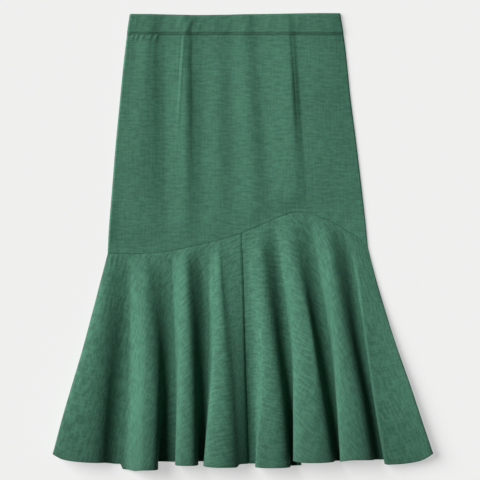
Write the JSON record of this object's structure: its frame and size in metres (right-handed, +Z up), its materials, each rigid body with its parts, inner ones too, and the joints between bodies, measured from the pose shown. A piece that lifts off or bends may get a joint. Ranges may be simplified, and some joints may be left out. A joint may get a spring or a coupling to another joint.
{
  "type": "mermaid fishtail skirt",
  "caption": "Midi skirt laid flat: straight pull-on waistband, slim hip panel with waist darts, lopsided flounce seam and a deeply folded circular-cut fishtail flounce.",
  "frame": {"origin": "under the middle of the skirt's box, on the surface that the skirt lies on", "axes": "+Z up from the surface, +Y towards the waist, +X to the right of someone who looks down on the skirt's front"},
  "size_m": [0.667, 0.7958, 0.0407],
  "materials": {
    "skirt_cloth": "slubby plain weave, matt with a faint sheen",
    "waistband_cloth": "the same cloth doubled over a flat elastic"
  },
  "bodies": {
    "root": {"waistband_front": "waistband_cloth", "waistband_back": "waistband_cloth", "skirt_front": "skirt_cloth", "skirt_back": "skirt_cloth", "flounce_front_left": "skirt_cloth", "flounce_front_right": "skirt_cloth", "flounce_back": "skirt_cloth"}
  },
  "joints": []
}
